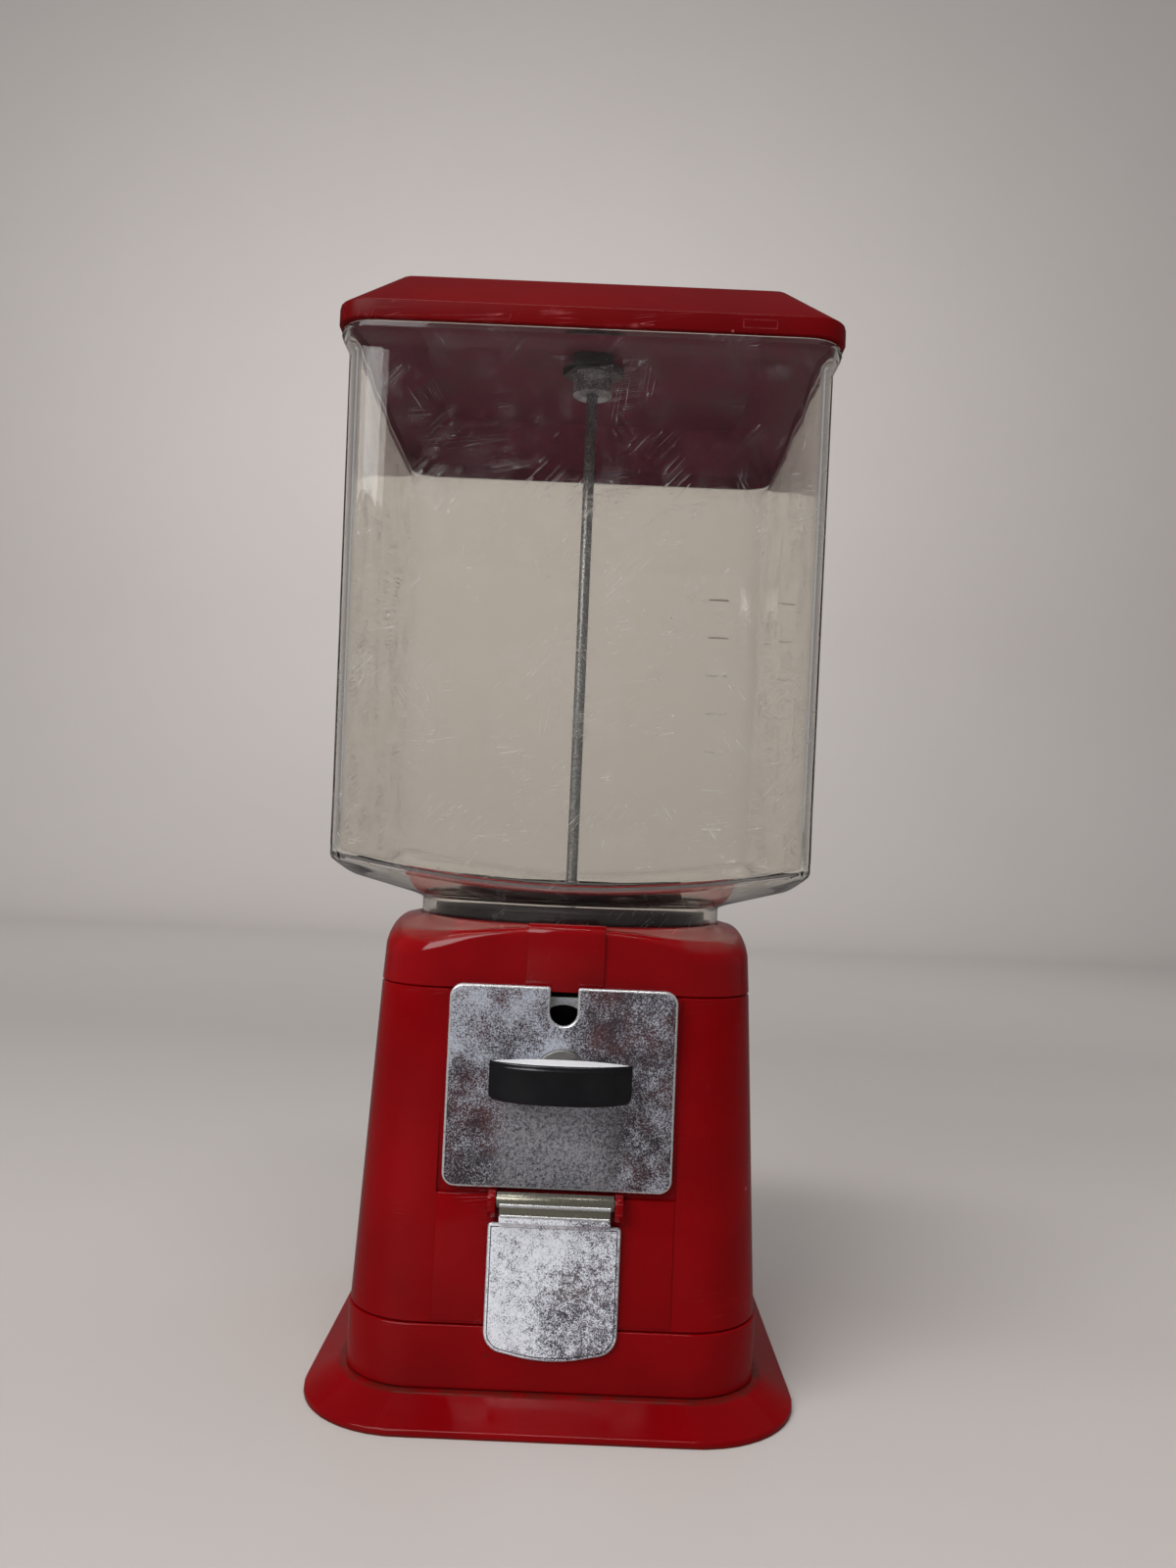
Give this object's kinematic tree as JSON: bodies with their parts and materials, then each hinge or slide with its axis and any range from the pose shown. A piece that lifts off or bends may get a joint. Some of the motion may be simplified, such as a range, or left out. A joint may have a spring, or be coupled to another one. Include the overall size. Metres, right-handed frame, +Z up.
{
  "type": "gumball machine",
  "caption": "Countertop gumball machine: square clear globe on a tapered red body with a turn-handle coin mechanism, a pocketed wheel, a chute with a drop door and a lift-off lid.",
  "frame": {"origin": "under the middle of the base, on the surface it stands on", "axes": "+Z up, the coin mechanism and the door face -Y, +X is the viewer's right when facing the machine"},
  "size_m": [0.1966, 0.1966, 0.442],
  "materials": {
    "red_plastic": "glossy moulded red, lightly scuffed",
    "clear_plastic": "clear plastic, faintly smoky and scratched",
    "black_plastic": "satin black",
    "worn_chrome": "worn and mottled plating on zinc",
    "zinc_steel": "zinc plated",
    "brass": "machined",
    "white_nylon": "moulded nylon",
    "grey_rubber": "matt"
  },
  "bodies": {
    "machine": {"base_flange": "red_plastic", "base_band": "red_plastic", "body_shell": "red_plastic", "hopper_housing": "red_plastic", "globe": "clear_plastic", "globe_gasket": "grey_rubber", "wheel_housing": "black_plastic", "hopper_cover": "black_plastic", "wheel_floor": "black_plastic", "wheel_bush": "brass", "wheel_collar": "zinc_steel", "center_rod": "zinc_steel", "rod_washer": "zinc_steel", "rod_nut": "zinc_steel", "chute": "black_plastic", "chute_screw_left": "zinc_steel", "chute_screw_right": "zinc_steel", "floor_screw_1": "zinc_steel", "floor_screw_2": "zinc_steel", "floor_screw_3": "zinc_steel", "door_hinge_pin": "zinc_steel", "mech_faceplate": "worn_chrome", "mech_backplate": "zinc_steel", "mech_screw_lower_left": "zinc_steel", "mech_screw_lower_right": "zinc_steel", "mech_screw_upper_left": "zinc_steel", "mech_screw_upper_right": "zinc_steel", "mech_nut_left": "zinc_steel", "mech_nut_right": "zinc_steel", "pawl_pin": "zinc_steel", "handle_escutcheon": "zinc_steel"},
    "handle": {"handle_bar": "worn_chrome", "handle_grip": "black_plastic", "mech_shaft": "zinc_steel", "coin_wheel": "zinc_steel", "ratchet_wheel": "zinc_steel", "drive_pinion": "brass", "gear_pin": "zinc_steel"},
    "wheel": {"product_wheel": "white_nylon"},
    "door": {"chute_door": "worn_chrome"},
    "pawl_arm": {"pawl": "zinc_steel"},
    "lid_assembly": {"lid": "red_plastic", "lock_housing": "worn_chrome", "lock_nut": "zinc_steel"},
    "lock": {"lock_plug": "brass"}
  },
  "joints": [
    {"name": "handle_turn", "type": "hinge", "parent": "machine", "child": "handle", "pos_m": [0, -0.0802, 0.128], "axis": [0, 1, 0], "continuous": true},
    {"name": "wheel_turn", "type": "hinge", "parent": "machine", "child": "wheel", "pos_m": [0, 0, 0.1405], "axis": [0, 0, 1], "continuous": true},
    {"name": "door_swing", "type": "hinge", "parent": "machine", "child": "door", "pos_m": [0, -0.0834, 0.0824], "axis": [-1, 0, 0], "range_deg": [0, 75]},
    {"name": "pawl_lift", "type": "hinge", "parent": "machine", "child": "pawl_arm", "pos_m": [0.0235, -0.0705, 0.143], "axis": [0, 1, 0], "range_deg": [0, 15]},
    {"name": "lid_lift", "type": "slide", "parent": "machine", "child": "lid_assembly", "axis": [0, 0, 1], "range_m": [0, 0.06]},
    {"name": "lock_turn", "type": "hinge", "parent": "lid_assembly", "child": "lock", "pos_m": [0, 0, 0.4414], "axis": [0, 0, 1], "range_deg": [0, 90]}
  ],
  "couplings": [
    {"joint": "wheel_turn", "follows": "handle_turn", "ratio": 0.16667}
  ]
}
